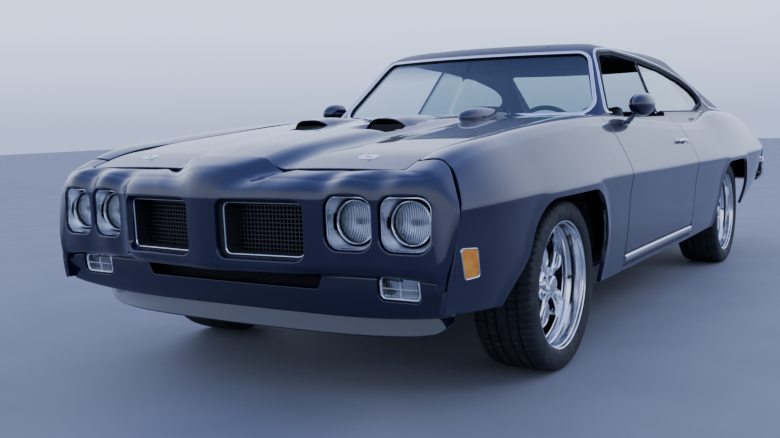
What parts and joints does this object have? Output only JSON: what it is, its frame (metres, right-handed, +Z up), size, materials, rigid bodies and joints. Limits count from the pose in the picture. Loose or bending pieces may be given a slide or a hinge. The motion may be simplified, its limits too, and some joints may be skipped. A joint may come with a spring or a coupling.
{
  "type": "muscle car",
  "caption": "Two-door hardtop muscle car with a pointed body-coloured nose, paired round lamps, scooped hood, vinyl roof and steered, spinning wheels; doors, hood and decklid open.",
  "frame": {"origin": "on the floor under the middle of the car", "axes": "+Z up, the nose points along -Y, +X is the driver's left-hand side"},
  "size_m": [1.948, 5.154, 1.3359],
  "materials": {
    "paint": "deep midnight blue gloss enamel",
    "nose_paint": "body-coloured gloss enamel over a moulded nose",
    "vinyl_roof": "grained black vinyl",
    "glass": "clear tinted",
    "chrome": "polished",
    "polished": "polished, lacquered",
    "black_plastic": "satin black",
    "lamp_glass": "clear fluted",
    "amber": "clear amber",
    "red_lens": "clear red",
    "rubber": "black",
    "chassis": "satin black",
    "cast": "painted",
    "steel": "dull",
    "trim": "black vinyl"
  },
  "bodies": {
    "body": {"frame": "chassis", "floor_pan": "chassis", "firewall": "chassis", "wheelhouses": "chassis", "radiator": "chassis", "fender_left": "paint", "fender_right": "paint", "quarter_left": "paint", "quarter_right": "paint", "sills": "paint", "rear_deck": "paint", "tail_panel": "paint", "nose": "nose_paint", "front_valance": "paint", "air_dam": "black_plastic", "roof": "vinyl_roof", "windshield": "glass", "back_glass": "glass", "quarter_glass": "glass", "rear_bumper": "chrome", "rocker_trim": "chrome", "grilles": "black_plastic", "headlamp_bezels": "chrome", "headlamps": "lamp_glass", "parking_lamps": "lamp_glass", "side_markers": "amber", "tail_lamps": "red_lens", "exhaust": "steel", "engine": "cast", "driveline": "steel", "rear_axle": "chassis", "front_suspension": "chassis", "fuel_tank": "steel", "dashboard": "black_plastic", "steering_column": "black_plastic", "front_seats": "trim", "rear_seat": "trim", "console": "black_plastic"},
    "hood": {"hood": "paint"},
    "decklid": {"decklid": "paint"},
    "door_left": {"door_left": "paint", "mirror_left": "paint"},
    "door_right": {"door_right": "paint", "mirror_right": "paint"},
    "steering_wheel": {"steering_wheel": "black_plastic"},
    "knuckle_left": {"knuckle_left": "cast"},
    "knuckle_right": {"knuckle_right": "cast"},
    "wheel_front_left": {"wheel_front_left": "polished", "tyre_front_left": "rubber"},
    "wheel_front_right": {"wheel_front_right": "polished", "tyre_front_right": "rubber"},
    "wheel_rear_left": {"wheel_rear_left": "polished", "tyre_rear_left": "rubber"},
    "wheel_rear_right": {"wheel_rear_right": "polished", "tyre_rear_right": "rubber"}
  },
  "joints": [
    {"name": "steer_left", "type": "hinge", "parent": "body", "child": "knuckle_left", "pos_m": [0.7, -1.577, 0.325], "axis": [0, 0, 1], "range_deg": [-34, 34]},
    {"name": "steer_right", "type": "hinge", "parent": "body", "child": "knuckle_right", "pos_m": [-0.7, -1.577, 0.325], "axis": [0, 0, 1], "range_deg": [-34, 34]},
    {"name": "steering_wheel_turn", "type": "hinge", "parent": "body", "child": "steering_wheel", "pos_m": [0.37, -0.43, 0.835], "axis": [0, 0.9397, 0.342], "range_deg": [-544, 544]},
    {"name": "door_left_hinge", "type": "hinge", "parent": "body", "child": "door_left", "pos_m": [0.968, -0.945, 0.6], "axis": [0, 0, -1], "range_deg": [0, 65]},
    {"name": "door_right_hinge", "type": "hinge", "parent": "body", "child": "door_right", "pos_m": [-0.968, -0.945, 0.6], "axis": [0, 0, 1], "range_deg": [0, 65]},
    {"name": "hood_hinge", "type": "hinge", "parent": "body", "child": "hood", "pos_m": [0, -0.85, 1], "axis": [-1, 0, 0], "range_deg": [0, 50]},
    {"name": "decklid_hinge", "type": "hinge", "parent": "body", "child": "decklid", "pos_m": [0, 1.64, 1], "axis": [1, 0, 0], "range_deg": [0, 60]},
    {"name": "spin_front_left", "type": "hinge", "parent": "knuckle_left", "child": "wheel_front_left", "pos_m": [0.7745, -1.577, 0.325], "axis": [1, 0, 0], "continuous": true},
    {"name": "spin_front_right", "type": "hinge", "parent": "knuckle_right", "child": "wheel_front_right", "pos_m": [-0.7745, -1.577, 0.325], "axis": [1, 0, 0], "continuous": true},
    {"name": "spin_rear_left", "type": "hinge", "parent": "body", "child": "wheel_rear_left", "pos_m": [0.769, 1.268, 0.325], "axis": [1, 0, 0], "continuous": true},
    {"name": "spin_rear_right", "type": "hinge", "parent": "body", "child": "wheel_rear_right", "pos_m": [-0.769, 1.268, 0.325], "axis": [1, 0, 0], "continuous": true}
  ],
  "couplings": [
    {"joint": "steer_right", "follows": "steer_left", "ratio": 1},
    {"joint": "steering_wheel_turn", "follows": "steer_left", "ratio": 16}
  ]
}
